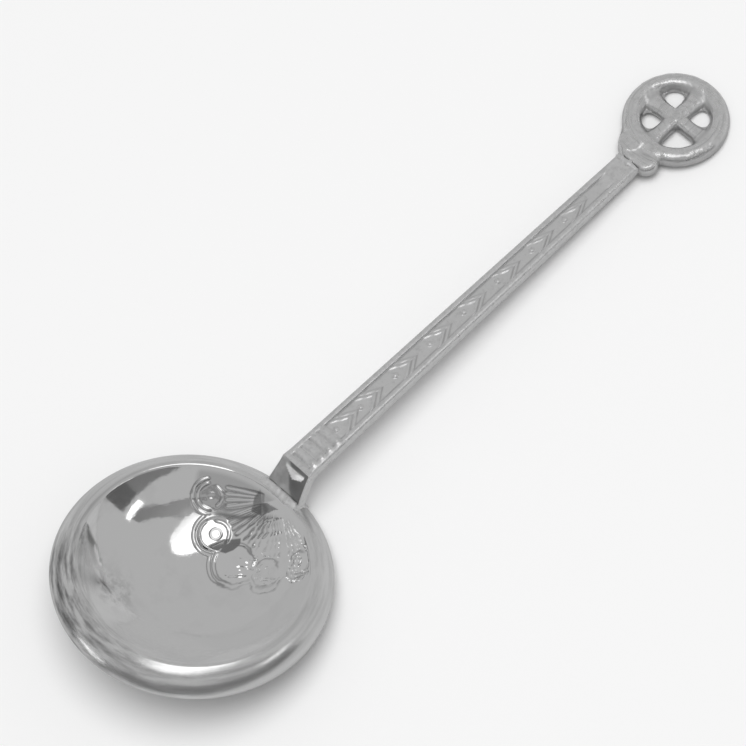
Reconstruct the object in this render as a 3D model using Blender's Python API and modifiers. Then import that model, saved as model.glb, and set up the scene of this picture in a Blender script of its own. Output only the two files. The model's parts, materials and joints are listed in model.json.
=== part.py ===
"""Incense spoon in metres, +Z up, lying on a table on its bowl and on the tip of its finial.

The pieces are drawn in two frames. In the spoon's frame the bowl's axis is Z, the origin lies on it at the level
of the lip's outer edge and the handle leaves along +X. In the bar's frame the knee's top edge is the origin, X
runs along the handle and Z stands square to its top face. The spoon empty tips everything into its rest.
"""

import math

import bmesh
import bpy
from mathutils import Vector

MM = 0.001

# The gap between pieces that touch, which solder fills on a real spoon.
GAP = 0.3 * MM

# Bowl: a round dish with a thick rounded lip. The dish is part of a sphere, and its depth counts from the lip's
# crest. The lip's slope is an arc that leaves the crest at one angle and meets the outer edge at another, in
# degrees from level.
BOWL_RADIUS = 16.8 * MM
BOWL_DEPTH = 8.1 * MM
WALL = 1.2 * MM
LIP_WIDTH = 3.2 * MM
LIP_HEIGHT = 2.9 * MM
LIP_UNDERSIDE = 1.0 * MM
CREST_ROUND = 0.6 * MM
CREST_TURN = 70
SHOULDER_TURN = 22
TURNED_STEPS = 72
BOWL_ARC_POINTS = 13
LIP_ARC_POINTS = 7
EDGE_ARC_POINTS = 4

# Leg: it stands on the lip, leans out over it and flares to its foot.
FOOT_SET = 0.6 * MM
FOOT_WIDTH = 6.3 * MM
FOOT_SINK = 1.5 * MM
LEG_RISE = 4.7 * MM
LEG_STEEPNESS = math.radians(63.9)
LEG_THICKNESS = 2.0 * MM
KNEE_BEND = 3.0 * MM
BEND_STEPS = 3

# Bar: it rises gently from the knee and tapers to the finial.
HANDLE_RISE = math.radians(11.2)
BAR_LENGTH = 68.2 * MM
BAR_THICKNESS = 2.0 * MM
KNEE_WIDTH = 5.25 * MM
END_WIDTH = 3.9 * MM
EDGE_ROUND = 0.22 * MM

# Sunken panel on the bar's top, between two rails.
RAIL_WIDTH = 0.85 * MM
PANEL_DEPTH = 0.35 * MM
PANEL_START = 1.0 * MM

# Relief on the panel: cross ridges by the knee, then dots and double chevrons.
RIDGE_COUNT = 4
RIDGE_START = 1.9 * MM
RIDGE_PITCH = 1.6 * MM
RIDGE_RADIUS = 0.48 * MM
RIDGE_OVERLAP = 0.15 * MM
DOT_RADIUS = 0.38 * MM
FIRST_DOT = 8.0 * MM
FIRST_STEP = 4.9 * MM
DOT_PITCH = 7.05 * MM
CHEVRON_LEAD = 3.9 * MM
CHEVRON_LENGTH = 2.6 * MM
CHEVRON_LINE = 0.28 * MM
CHEVRON_PAIR = 1.1 * MM
CHEVRON_MARGIN = 0.2 * MM
CHEVRON_HEIGHT = 0.2 * MM

# Finial: a ring round a four-armed cross, with a bolster at its base and a tongue in the bar's end.
RING_RADIUS = 7.95 * MM
RING_BAND = 2.75 * MM
RING_CROWN = 0.5 * MM
RING_EDGE = 0.25 * MM
FINIAL_THICKNESS = 1.8 * MM
ARM_WIDTH = 2.9 * MM
HOLE_CORNER = 0.9 * MM
HOLE_ARC_POINTS = 9
BOLSTER_LENGTH = 3.6 * MM
BOLSTER_WIDTH = 6.4 * MM
BOLSTER_PROUD = 0.1 * MM
RING_SINK = 1.55 * MM
TONGUE_LENGTH = 2.5 * MM
SOCKET_WALL = 0.4 * MM

# Solder: a bead round the foot, widest at the toe inside the bowl, and a shim in the finial's seam.
BEAD_TOE = 0.6 * MM
BEAD_HEEL = 0.4 * MM
BEAD_SIDE = 0.2 * MM
BEAD_HEIGHT = 0.5 * MM
SEAM_SOLDER = 0.4 * MM

# Overshoot of a cutter past the face that it opens.
CUT_MARGIN = 1.0 * MM

# Mesh settings: the angle that counts as an edge, the reach of a weld, and the facets of the small round shapes.
SHARP_ANGLE = math.radians(35)
WELD_REACH = 0.001 * MM
BEVEL_SEGMENTS = 2
RIDGE_SIDES = 16
DOT_SIDES = 8
DOT_RINGS = 6

# Sizes that follow from those above.
CREST_LEVEL = LIP_HEIGHT - CREST_ROUND
SPHERE_BASE = BOWL_DEPTH - CREST_LEVEL
SPHERE_LEVEL = (BOWL_RADIUS**2 + CREST_LEVEL**2 - SPHERE_BASE**2) / (2 * BOWL_DEPTH)
INNER_RADIUS = SPHERE_LEVEL + BOWL_DEPTH - LIP_HEIGHT
BODY_RADIUS = INNER_RADIUS + WALL
MOUTH_TURN = math.degrees(math.atan2(CREST_LEVEL - SPHERE_LEVEL, BOWL_RADIUS))
LIP_RADIUS = BOWL_RADIUS + LIP_WIDTH
CREST_LEAN = math.cos(math.radians(CREST_TURN))
CREST_LIFT = math.sin(math.radians(CREST_TURN))
EDGE_LEAN = math.cos(math.radians(SHOULDER_TURN))
EDGE_LIFT = math.sin(math.radians(SHOULDER_TURN))
LIP_SPREAD = LIP_WIDTH - CREST_ROUND * CREST_LEAN - LIP_UNDERSIDE * (1 - EDGE_LEAN)
LIP_ARC_RADIUS = LIP_SPREAD / (EDGE_LEAN - CREST_LEAN)
LIP_CENTRE = BOWL_RADIUS - (LIP_ARC_RADIUS - CREST_ROUND) * CREST_LEAN
LIP_LEVEL = CREST_LEVEL - (LIP_ARC_RADIUS - CREST_ROUND) * CREST_LIFT
EDGE_LEVEL = LIP_LEVEL + (LIP_ARC_RADIUS - LIP_UNDERSIDE) * EDGE_LIFT
FOOT_REACH = BOWL_RADIUS + FOOT_SET
FOOT_HEIGHT = LIP_LEVEL + math.sqrt(LIP_ARC_RADIUS**2 - (FOOT_REACH - LIP_CENTRE) ** 2)
LEG_LENGTH = LEG_RISE / math.sin(LEG_STEEPNESS)
KNEE_REACH = FOOT_REACH + LEG_LENGTH * math.cos(LEG_STEEPNESS)
KNEE_HEIGHT = FOOT_HEIGHT + LEG_RISE
END_LAND = TONGUE_LENGTH + GAP + SOCKET_WALL
PANEL_END = BAR_LENGTH - END_LAND
BOLSTER_FACE = BAR_LENGTH + GAP + SEAM_SOLDER + GAP
FINIAL_REACH = BOLSTER_FACE + BOLSTER_LENGTH + RING_RADIUS - RING_SINK

# Along the leg's inner face, from the knee down to the foot, in the bar's frame, and square to that face.
LEG_TURN = math.pi + LEG_STEEPNESS - HANDLE_RISE
LEG_DOWN = Vector((math.cos(LEG_TURN), 0, math.sin(LEG_TURN)))
LEG_FRONT = Vector((math.sin(LEG_TURN), 0, -math.cos(LEG_TURN)))


def clear_scene():
    for thing in list(bpy.data.objects):
        bpy.data.objects.remove(thing, do_unlink=True)


def new_collection(name):
    made = bpy.data.collections.new(name)
    bpy.context.scene.collection.children.link(made)
    return made


def plated_metal(name, grey, roughness):
    """A grey plated metal."""
    made = bpy.data.materials.new(name)
    made.use_nodes = True
    shader = made.node_tree.nodes["Principled BSDF"]
    shader.inputs["Base Color"].default_value = (grey, grey, grey, 1)
    shader.inputs["Metallic"].default_value = 1
    shader.inputs["Roughness"].default_value = roughness
    return made


def as_object(name, mesh, home, parent):
    """An object of this mesh, which may still be a bmesh."""
    if isinstance(mesh, bmesh.types.BMesh):
        made = bpy.data.meshes.new(name)
        mesh.to_mesh(made)
        mesh.free()
        mesh = made
    mesh.shade_smooth()
    mesh.set_sharp_from_angle(angle=SHARP_ANGLE)
    thing = bpy.data.objects.new(name, mesh)
    home.objects.link(thing)
    thing.parent = parent
    return thing


def as_cutter(thing):
    thing.hide_render = True
    thing.display_type = "WIRE"
    return thing


def arc(across, up, wide, high, start, end, count):
    """Points (x, z) on an ellipse's arc, from start to end in degrees."""
    angles = [math.radians(start + (end - start) * step / (count - 1)) for step in range(count)]
    return [(across + wide * math.cos(angle), up + high * math.sin(angle)) for angle in angles]


def turned(name, profile, home, parent):
    """A profile of (radius, height), down its outer side, turned round Z."""
    mesh = bmesh.new()
    verts = [mesh.verts.new((max(radius, 0), 0, height)) for radius, height in profile]
    for above, below in zip(verts, verts[1:]):
        mesh.edges.new((above, below))
    thing = as_object(name, mesh, home, parent)
    screw = thing.modifiers.new("turn", "SCREW")
    screw.steps = TURNED_STEPS
    screw.render_steps = TURNED_STEPS
    screw.use_merge_vertices = True
    screw.merge_threshold = WELD_REACH
    return thing


def loft(rings):
    """A closed mesh skinned through rings of points, each with the same number of points."""
    mesh = bmesh.new()
    loops = [[mesh.verts.new(point) for point in ring] for ring in rings]
    for near, far in zip(loops, loops[1:]):
        for index, vert in enumerate(near):
            following = (index + 1) % len(near)
            mesh.faces.new((vert, near[following], far[following], far[index]))
    mesh.faces.new(loops[0])
    mesh.faces.new(loops[-1])
    bmesh.ops.recalc_face_normals(mesh, faces=mesh.faces)
    return mesh


def ring_of(top, bottom, half_width):
    """A four-cornered ring with its upper edge through top and its lower edge through bottom."""
    side = Vector((0, half_width, 0))
    return [top + side, top - side, bottom - side, bottom + side]


def block(start, end, start_half, end_half, top, bottom):
    """A straight block along X whose width changes evenly from start to end."""
    near = ring_of(Vector((start, 0, top)), Vector((start, 0, bottom)), start_half)
    far = ring_of(Vector((end, 0, top)), Vector((end, 0, bottom)), end_half)
    return loft([near, far])


def plate(outline, thickness):
    """A mesh of a closed outline of (x, y), filled, with its thickness half above and half below."""
    flat = bpy.data.curves.new("outline", "CURVE")
    flat.dimensions = "2D"
    flat.fill_mode = "BOTH"
    flat.extrude = thickness / 2
    spline = flat.splines.new("POLY")
    spline.points.add(len(outline) - 1)
    spline.use_cyclic_u = True
    for point, (across, along) in zip(spline.points, outline):
        point.co = (across, along, 0, 1)
    drawn = bpy.data.objects.new("outline", flat)
    bpy.context.scene.collection.objects.link(drawn)
    bpy.context.view_layer.update()
    graph = bpy.context.evaluated_depsgraph_get()
    skin = bpy.data.meshes.new_from_object(drawn.evaluated_get(graph))
    mesh = bmesh.new()
    mesh.from_mesh(skin)
    bmesh.ops.remove_doubles(mesh, verts=mesh.verts, dist=WELD_REACH)
    bmesh.ops.recalc_face_normals(mesh, faces=mesh.faces)
    bpy.data.objects.remove(drawn, do_unlink=True)
    bpy.data.curves.remove(flat)
    bpy.data.meshes.remove(skin)
    return mesh


def take_in(mesh, other, place, turn=0):
    """Adds a copy of another bmesh, turned round Z and moved to a place, then frees the other."""
    scratch = bpy.data.meshes.new("scratch")
    other.to_mesh(scratch)
    other.free()
    known = len(mesh.verts)
    mesh.from_mesh(scratch)
    bpy.data.meshes.remove(scratch)
    mesh.verts.ensure_lookup_table()
    for vert in mesh.verts[known:]:
        across, along = vert.co.x, vert.co.y
        vert.co.x = across * math.cos(turn) - along * math.sin(turn)
        vert.co.y = across * math.sin(turn) + along * math.cos(turn)
        vert.co += place


def boolean(thing, operation, other):
    cut = thing.modifiers.new(f"{operation.lower()} {other.name}", "BOOLEAN")
    cut.operation = operation
    cut.solver = "EXACT"
    cut.object = other


def bevel(thing):
    soft = thing.modifiers.new("rounded edges", "BEVEL")
    soft.width = EDGE_ROUND
    soft.segments = BEVEL_SEGMENTS
    soft.limit_method = "ANGLE"
    soft.angle_limit = SHARP_ANGLE


def lip_side(grow):
    """The lip's slope and its rounded outer edge, larger by grow."""
    slope = LIP_ARC_RADIUS + grow
    edge = LIP_UNDERSIDE + grow
    upper = arc(LIP_CENTRE, LIP_LEVEL, slope, slope, CREST_TURN, SHOULDER_TURN, LIP_ARC_POINTS)
    lower = arc(LIP_RADIUS - LIP_UNDERSIDE, EDGE_LEVEL, edge, edge, SHOULDER_TURN, -90, LIP_ARC_POINTS)
    return upper + lower[1:]


def bowl_profile():
    """From the middle of the inside, up over the lip and down the outside to the middle again."""
    low = math.degrees(math.asin((EDGE_LEVEL - LIP_UNDERSIDE - SPHERE_LEVEL) / BODY_RADIUS))
    inside = arc(0, SPHERE_LEVEL, INNER_RADIUS, INNER_RADIUS, -90, MOUTH_TURN, BOWL_ARC_POINTS)
    start = 180 + MOUTH_TURN
    crest = arc(BOWL_RADIUS, CREST_LEVEL, CREST_ROUND, CREST_ROUND, start, CREST_TURN, EDGE_ARC_POINTS)
    outside = arc(0, SPHERE_LEVEL, BODY_RADIUS, BODY_RADIUS, low, -90, BOWL_ARC_POINTS)
    return inside + crest[1:] + lip_side(0)[1:] + outside


def lip_profile(grow):
    """The lip's outer shape, larger by grow all round and filled in to the bowl's axis."""
    top = CREST_ROUND + grow
    crest = arc(BOWL_RADIUS, CREST_LEVEL, top, top, 90, CREST_TURN, EDGE_ARC_POINTS)
    side = lip_side(grow)
    return [(0, LIP_HEIGHT + grow)] + crest + side[1:] + [(0, side[-1][1])]


def bar_half(along):
    """Half the bar's width at a distance from the knee."""
    return (KNEE_WIDTH + (END_WIDTH - KNEE_WIDTH) * along / BAR_LENGTH) / 2


def panel_half(along):
    return bar_half(along) - RAIL_WIDTH


def leg_half(down):
    """Half the leg's width at a distance down from the knee."""
    return (KNEE_WIDTH + (FOOT_WIDTH - KNEE_WIDTH) * down / LEG_LENGTH) / 2


def leg_ring(down, toe, heel, side):
    """The leg's section at a distance down from the knee, larger by toe, heel and side."""
    half = leg_half(down)
    front = LEG_DOWN * down + LEG_FRONT * toe
    back = LEG_DOWN * down - LEG_FRONT * (LEG_THICKNESS + heel)
    return ring_of(front, back, half + side)


def handle_body():
    """The leg and the bar, which bend under the knee round a middle below it. The foot runs on into the lip."""
    leg_deep = LEG_THICKNESS + KNEE_BEND
    leg_end = (LEG_FRONT.z * leg_deep - BAR_THICKNESS - KNEE_BEND) / LEG_DOWN.z
    middle = LEG_DOWN * leg_end - LEG_FRONT * leg_deep
    rings = [leg_ring(LEG_LENGTH + FOOT_SINK, 0, 0, 0)]
    tops = [LEG_DOWN * leg_end * (1 - step / BEND_STEPS) for step in range(BEND_STEPS)]
    tops += [Vector((middle.x * step / BEND_STEPS, 0, 0)) for step in range(BEND_STEPS + 1)]
    for top in tops:
        half = bar_half(top.x) if top.z == 0 else leg_half(top.length)
        rings.append(ring_of(top, middle + (top - middle).normalized() * KNEE_BEND, half))
    end = Vector((BAR_LENGTH, 0, 0))
    rings.append(ring_of(end, end - Vector((0, 0, BAR_THICKNESS)), bar_half(BAR_LENGTH)))
    return loft(rings)


def dot_places():
    """Distances from the knee: a first dot by the ridges, then an even row with room for its chevrons."""
    places = [FIRST_DOT]
    along = FIRST_DOT + FIRST_STEP
    while along + CHEVRON_LEAD < PANEL_END - CHEVRON_MARGIN:
        places.append(along)
        along += DOT_PITCH
    return places


def chevron_outline(half_span):
    """A bent line pointing along +X, with its tip at the origin."""
    slant = math.hypot(CHEVRON_LENGTH, half_span)
    thick = CHEVRON_LINE * slant / half_span
    tail = -CHEVRON_LENGTH
    return [
        (0, 0),
        (tail, half_span),
        (tail - thick, half_span),
        (-thick, 0),
        (tail - thick, -half_span),
        (tail, -half_span),
    ]


def add_ridges(relief):
    """Round bars across the panel, with their ends in the rails."""
    for step in range(RIDGE_COUNT):
        along = RIDGE_START + RIDGE_PITCH * step
        span = 2 * (panel_half(along) + RIDGE_OVERLAP)
        rod = bmesh.new()
        bmesh.ops.create_cone(
            rod, cap_ends=True, segments=RIDGE_SIDES, radius1=RIDGE_RADIUS, radius2=RIDGE_RADIUS, depth=span
        )
        for vert in rod.verts:
            vert.co = (vert.co.x, vert.co.z, -vert.co.y)
        take_in(relief, rod, Vector((along, 0, -PANEL_DEPTH)))


def add_dots_and_chevrons(relief):
    """One dot and one pair of chevrons for each place, half sunk in the panel's floor."""
    for along in dot_places():
        floor = Vector((along, 0, -PANEL_DEPTH))
        dot = bmesh.new()
        bmesh.ops.create_uvsphere(dot, u_segments=DOT_SIDES, v_segments=DOT_RINGS, radius=DOT_RADIUS)
        take_in(relief, dot, floor)
        for back in (0, CHEVRON_PAIR):
            tip = along + CHEVRON_LEAD - back
            line = plate(chevron_outline(panel_half(tip) - CHEVRON_MARGIN), 2 * CHEVRON_HEIGHT)
            take_in(relief, line, Vector((tip, 0, -PANEL_DEPTH)))


def make_bowl(parts, spoon):
    bowl = turned("bowl", bowl_profile(), parts, spoon)
    bowl.data.materials.append(plated_metal("polished_plate", 0.62, 0.12))
    return bowl


def make_handle(parts, cutters, bar, lip_room):
    handle = as_object("handle", handle_body(), parts, bar)
    handle.data.materials.append(plated_metal("cast_plate", 0.6, 0.26))
    bevel(handle)
    boolean(handle, "DIFFERENCE", lip_room)

    sunken = block(
        PANEL_START, PANEL_END, panel_half(PANEL_START), panel_half(PANEL_END), CUT_MARGIN, -PANEL_DEPTH
    )
    boolean(handle, "DIFFERENCE", as_cutter(as_object("panel_cutter", sunken, cutters, bar)))

    socket = tongue_block(GAP, BAR_LENGTH + CUT_MARGIN)
    boolean(handle, "DIFFERENCE", as_cutter(as_object("socket_cutter", socket, cutters, bar)))

    relief = bmesh.new()
    add_ridges(relief)
    add_dots_and_chevrons(relief)
    boolean(handle, "UNION", as_cutter(as_object("relief", relief, cutters, bar)))
    return handle


def tongue_block(grow, end):
    """The finial's tongue in the middle of the bar's end, larger by grow on every side."""
    inset = SOCKET_WALL + GAP - grow
    half = END_WIDTH / 2 - inset
    start = BAR_LENGTH - TONGUE_LENGTH - grow
    return block(start, end, half, half, -inset, inset - BAR_THICKNESS)


def finial_profile():
    """A disc with a rounded band round its edge, about the middle of the cross."""
    middle = RING_RADIUS - RING_BAND / 2
    band = arc(middle, -RING_CROWN, RING_BAND / 2, RING_CROWN, 180, 0, LIP_ARC_POINTS)
    back = [(RING_RADIUS, RING_EDGE - FINIAL_THICKNESS), (RING_RADIUS - RING_EDGE, -FINIAL_THICKNESS)]
    return [(0, -RING_CROWN)] + band + back + [(0, -FINIAL_THICKNESS)]


def hole_outline():
    """One opening of the wheel, between two arms and the ring, with its three corners rounded."""
    inner = RING_RADIUS - RING_BAND
    near = ARM_WIDTH / 2 + HOLE_CORNER
    far = math.sqrt((inner - HOLE_CORNER) ** 2 - near**2)
    turn = math.degrees(math.atan2(near, far))
    corners = [(far, near, -90, turn), (near, far, 90 - turn, 180), (near, near, 180, 270)]
    first, second, third = [
        arc(across, along, HOLE_CORNER, HOLE_CORNER, start, end, EDGE_ARC_POINTS)
        for across, along, start, end in corners
    ]
    rim = arc(0, 0, inner, inner, turn, 90 - turn, HOLE_ARC_POINTS)
    return first + rim[1:-1] + second + third


def bolster_outline():
    """A short bar across the handle with round ends, from its face towards the ring."""
    radius = BOLSTER_LENGTH / 2
    reach = BOLSTER_WIDTH / 2 - radius
    one_end = arc(radius, reach, radius, radius, 0, 180, HOLE_ARC_POINTS)
    other_end = arc(radius, -reach, radius, radius, 180, 360, HOLE_ARC_POINTS)
    return one_end + other_end


def make_finial(parts, cutters, bar):
    finial = turned("finial", finial_profile(), parts, bar)
    finial.location = (FINIAL_REACH, 0, 0)
    finial.data.materials.append(plated_metal("cast_wheel_plate", 0.6, 0.24))

    holes = bmesh.new()
    for quarter in range(4):
        opening = plate(hole_outline(), 2 * (FINIAL_THICKNESS + CUT_MARGIN))
        take_in(holes, opening, Vector((FINIAL_REACH, 0, 0)), quarter * math.pi / 2)
    boolean(finial, "DIFFERENCE", as_cutter(as_object("hole_cutter", holes, cutters, bar)))

    thick = FINIAL_THICKNESS + 2 * BOLSTER_PROUD
    bolster = plate(bolster_outline(), thick)
    bmesh.ops.translate(bolster, verts=bolster.verts, vec=(BOLSTER_FACE, 0, -FINIAL_THICKNESS / 2))
    bolster = as_cutter(as_object("bolster", bolster, cutters, bar))
    bevel(bolster)
    boolean(finial, "UNION", bolster)

    tongue = tongue_block(0, BOLSTER_FACE + BOLSTER_LENGTH / 2)
    boolean(finial, "UNION", as_cutter(as_object("tongue", tongue, cutters, bar)))
    return finial


def make_foot_solder(parts, cutters, bar, lip_room, lip_bead):
    """A bead on the lip, all round the foot."""
    deep = LEG_LENGTH + FOOT_SINK
    grown = (GAP + BEAD_TOE, GAP + BEAD_HEEL, GAP + BEAD_SIDE)
    outer = loft([leg_ring(deep, *grown), leg_ring(0, *grown)])
    inner = loft([leg_ring(deep + CUT_MARGIN, GAP, GAP, GAP), leg_ring(-CUT_MARGIN, GAP, GAP, GAP)])
    bead = as_object("foot_solder", outer, parts, bar)
    bead.data.materials.append(plated_metal("solder_plate", 0.58, 0.3))
    boolean(bead, "INTERSECT", lip_bead)
    boolean(bead, "DIFFERENCE", lip_room)
    boolean(bead, "DIFFERENCE", as_cutter(as_object("leg_room", inner, cutters, bar)))
    return bead


def make_finial_solder(parts, cutters, bar):
    """A shim as large as the bar's end, between it and the bolster, with a slot for the tongue."""
    start = BAR_LENGTH + GAP
    end = start + SEAM_SOLDER
    half = bar_half(BAR_LENGTH)
    shim = as_object("finial_solder", block(start, end, half, half, 0, -BAR_THICKNESS), parts, bar)
    shim.data.materials.append(plated_metal("seam_plate", 0.58, 0.32))
    slot = tongue_block(GAP, end + CUT_MARGIN)
    boolean(shim, "DIFFERENCE", as_cutter(as_object("slot_cutter", slot, cutters, bar)))
    return shim


def rest_tilt():
    """How far the spoon tips towards its handle before the finial's far edge meets the table."""
    lie = Vector((math.cos(HANDLE_RISE), 0, math.sin(HANDLE_RISE)))
    square = Vector((-math.sin(HANDLE_RISE), 0, math.cos(HANDLE_RISE)))
    knee = Vector((KNEE_REACH, 0, KNEE_HEIGHT))
    tip = knee + lie * (FINIAL_REACH + RING_RADIUS - RING_EDGE) - square * FINIAL_THICKNESS
    tip.z -= SPHERE_LEVEL
    return math.atan2(tip.z, tip.x) + math.asin(BODY_RADIUS / tip.length)


def settle(spoon, pieces):
    """Moves the spoon so that the origin is the middle of its box's underside."""
    bpy.context.view_layer.update()
    graph = bpy.context.evaluated_depsgraph_get()
    points = []
    for piece in pieces:
        seen = piece.evaluated_get(graph)
        mesh = seen.to_mesh()
        points += [seen.matrix_world @ vert.co for vert in mesh.vertices]
        seen.to_mesh_clear()
    low = Vector([min(values) for values in zip(*points)])
    high = Vector([max(values) for values in zip(*points)])
    spoon.location = (-(low.x + high.x) / 2, -(low.y + high.y) / 2, -low.z)


def main():
    clear_scene()
    parts = new_collection("incense_spoon")
    cutters = new_collection("cutters")

    spoon = bpy.data.objects.new("spoon", None)
    spoon.rotation_euler = (0, rest_tilt(), 0)
    bar = bpy.data.objects.new("bar", None)
    bar.location = (KNEE_REACH, 0, KNEE_HEIGHT)
    bar.rotation_euler = (0, -HANDLE_RISE, 0)
    bar.parent = spoon
    for frame in (spoon, bar):
        parts.objects.link(frame)

    lip_room = as_cutter(turned("lip_room", lip_profile(GAP), cutters, spoon))
    lip_bead = as_cutter(turned("lip_bead", lip_profile(GAP + BEAD_HEIGHT), cutters, spoon))
    pieces = [
        make_bowl(parts, spoon),
        make_handle(parts, cutters, bar, lip_room),
        make_finial(parts, cutters, bar),
        make_foot_solder(parts, cutters, bar, lip_room, lip_bead),
        make_finial_solder(parts, cutters, bar),
    ]
    settle(spoon, pieces)


main()
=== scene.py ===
"""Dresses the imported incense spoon: bowl with its palmette, cast handle and wheel, solder and studio."""

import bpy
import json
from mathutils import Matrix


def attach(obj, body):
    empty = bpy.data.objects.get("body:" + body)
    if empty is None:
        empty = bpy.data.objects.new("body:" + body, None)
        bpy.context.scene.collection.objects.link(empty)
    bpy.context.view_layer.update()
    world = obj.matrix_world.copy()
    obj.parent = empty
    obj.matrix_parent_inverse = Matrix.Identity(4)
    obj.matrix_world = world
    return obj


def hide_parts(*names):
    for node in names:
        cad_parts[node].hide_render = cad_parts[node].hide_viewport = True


bl_info = {
    "name": "Incense Spoon",
    "version": (1, 0, 0),
    "blender": (4, 5, 0),
    "location": "3D View > Sidebar > Spoon",
    "description": "Builds the visible pieces of an incense spoon round its packed solids",
    "category": "Object",
}

import json
import math

import bmesh
import bpy
import numpy as np
from bpy.props import FloatProperty, FloatVectorProperty, IntProperty, PointerProperty
from bpy.types import Operator, Panel, PropertyGroup
from mathutils import Matrix, Vector

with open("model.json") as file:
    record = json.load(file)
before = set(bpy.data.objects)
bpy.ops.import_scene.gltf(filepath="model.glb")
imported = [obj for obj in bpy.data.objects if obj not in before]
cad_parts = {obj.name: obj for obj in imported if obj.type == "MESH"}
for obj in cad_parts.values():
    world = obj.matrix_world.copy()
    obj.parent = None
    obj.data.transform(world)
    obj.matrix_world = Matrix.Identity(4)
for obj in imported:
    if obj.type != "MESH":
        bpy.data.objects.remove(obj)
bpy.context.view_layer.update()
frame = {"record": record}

MM = 0.001
HANDLE_BACK = next(mount for mount in frame["record"]["mounts"] if mount["name"] == "handle_back")

# Corners of two dark patches of the palmette, painted as dark reflections, in millimetres down the bowl and
# to the side of its root.
HOLLOW_PAINTED_DARK = [(11.5, 5.0), (9.4, 3.75), (7.8, 1.8), (8.6, 1.2), (9.9, 1.5), (10.9, 2.2), (11.4, 3.85)]
ROOT_SHADE = [(1.3, 2.3), (3.5, 0.95), (3.95, 2.75), (1.85, 3.4), (0.0, 3.2)]

# Slopes of the flat lobe's face, away from the root and across it, and the swell that a side lobe keeps.
FACE_SLOPES = (0.09, 0.066)
SIDE_SWELL = 0.35
# Width, firmness and height of the rays on the palmette's clear side and on its worn side.
CLEAR_RAYS = (1.25, 0.95, 0.65)
WORN_RAYS = (0.85, 0.75, 1.6)
# Angle in degrees between two rays of a lobe.
RAY_PITCH = 6.5

# Points along the inside, the crest, the slope, the edge, the underside and the body of the bowl's section.
SECTION_POINTS = (150, 16, 20, 16, 12, 44)
# The columns are fine over the palmette's fan, in degrees to each side of the handle, and coarse elsewhere.
FAN_HALF = 60
FAN_STEP = 0.55
REST_POINTS = 98
# Middle and half width, in degrees round the bowl, of its wiped place, its place darkened with painted
# shade, and its blotched place.
BOWL_PLACES = ((145, 30), (150, 40), (146, 17))
# Headings round the bowl and how far its wall's shading may tilt there, both in degrees.
WALL_HEADINGS = (100, 140, 180, 225, 270, 305, 340)
WALL_TILTS = (70, 52, 40, 34.5, 34, 36, 60)

# First sections of the leg and of the bar, in millimetres from the knee, and the step between the others.
LEG_SECTIONS = (0.05, 0.15, 0.35, 0.6)
LEG_STEP = 0.22
BAR_SECTIONS = (0, 0.05, 0.12, 0.24)
BAR_STEP = 0.15
# Rounding of the handle's edges at the knee and along its back.
KNEE_EDGE = 0.14 * MM
BACK_EDGE = 0.3 * MM

# Rows down the wheel's walls, and rounds in which the points of its top settle.
WALL_ROWS = 5
SETTLING_ROUNDS = 8
# Points along the beads of solder and round their sections.
FOOT_POINTS = 160
SEAM_POINTS = 80
BEAD_SIDES = 14
# Edges sharper than this angle in degrees stay sharp.
SHARP_EDGE = 38

# The stage: sizes in metres, the glow of a card, points along a screen and where the camera looks.
FLOOR_RADIUS = 1.2
MAT_RADIUS = 1.25
FILL_SIZE = 1.0
FILL_HEIGHT = 1.2
SCREEN_REACH = 0.5
CARD_REACH = 0.49
CARD_GLOW = 1.05
SCREEN_POINTS = 60
VIEW_MIDDLE = Vector((-4.7554, 3.3906, 5.0)) * MM


def length(name, description, millimetres):
    """A size property, given in millimetres."""
    return FloatProperty(
        name=name, description=description, default=millimetres * MM, unit="LENGTH", precision=5
    )


def angle(name, description, degrees):
    """An angle property, given in degrees."""
    return FloatProperty(name=name, description=description, default=math.radians(degrees), subtype="ANGLE")


def share(name, description, value):
    """A property between nought and one."""
    return FloatProperty(name=name, description=description, default=value, min=0, max=1, subtype="FACTOR")


def number(name, description, value):
    """A property without a unit, such as a brightness."""
    return FloatProperty(name=name, description=description, default=value)


def grey(name, description, value):
    """A colour property that starts as a grey."""
    return FloatVectorProperty(
        name=name, description=description, default=(value, value, value), size=3, subtype="COLOR"
    )


class BowlSizes(PropertyGroup):
    """The round bowl and the palmette on its inside."""

    crest_radius: length("Crest radius", "Radius at the crest of the lip", 16.8)
    depth: length("Depth", "From the crest of the lip down to the inside", 8.1)
    wall: length("Wall", "Thickness of the dish", 1.2)
    lip_width: length("Lip width", "From the crest to the widest place of the lip", 3.2)
    lip_height: length("Lip height", "Crest of the lip over the level of its edge", 2.9)
    lip_edge: length("Lip edge", "Rounding of the lip's outer edge", 1.0)
    crest_round: length("Crest rounding", "Rounding of the lip's crest", 0.6)
    crest_turn: angle("Crest angle", "Where the crest's rounding meets the slope", 70)
    shoulder_turn: angle("Shoulder angle", "Where the slope meets the outer edge", 22)
    palmette_lean: angle("Palmette lean", "How far the palmette leans about its root", -5.5)
    palmette_shift: length("Palmette shift", "How far the palmette's root stands to the side", -0.37)
    middle_reach: length("Middle eye", "From the root to the eye of the middle lobe", 11.0)
    next_reach: length("Next eyes", "From the root to the eyes of the next lobes", 10.7)
    side_reach: length("Side eyes", "From the root to the eyes of the side lobes", 10.1)
    middle_lobe: length("Middle lobe", "Radius of the middle lobe", 3.4)
    next_lobe: length("Next lobes", "Radius of the next lobes", 2.5)
    side_lobe: length("Side lobes", "Radius of the side lobes", 2.0)
    next_turn: angle("Next turn", "Angle from the middle lobe to the next", 29)
    side_turn: angle("Side turn", "Angle from the middle lobe to the side", 60.5)
    line_width: length("Line width", "Half the width of a chased line", 0.25)
    swell: length("Swell", "How far the body of a lobe stands up", 0.4)
    face_lift: length("Face lift", "How far the flat face of one lobe stands up", 0.36)
    line_height: length("Line height", "How far a chased line stands up", 0.15)
    border_gap: length("Border gap", "Between the two lines of the border", 0.75)


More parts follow.
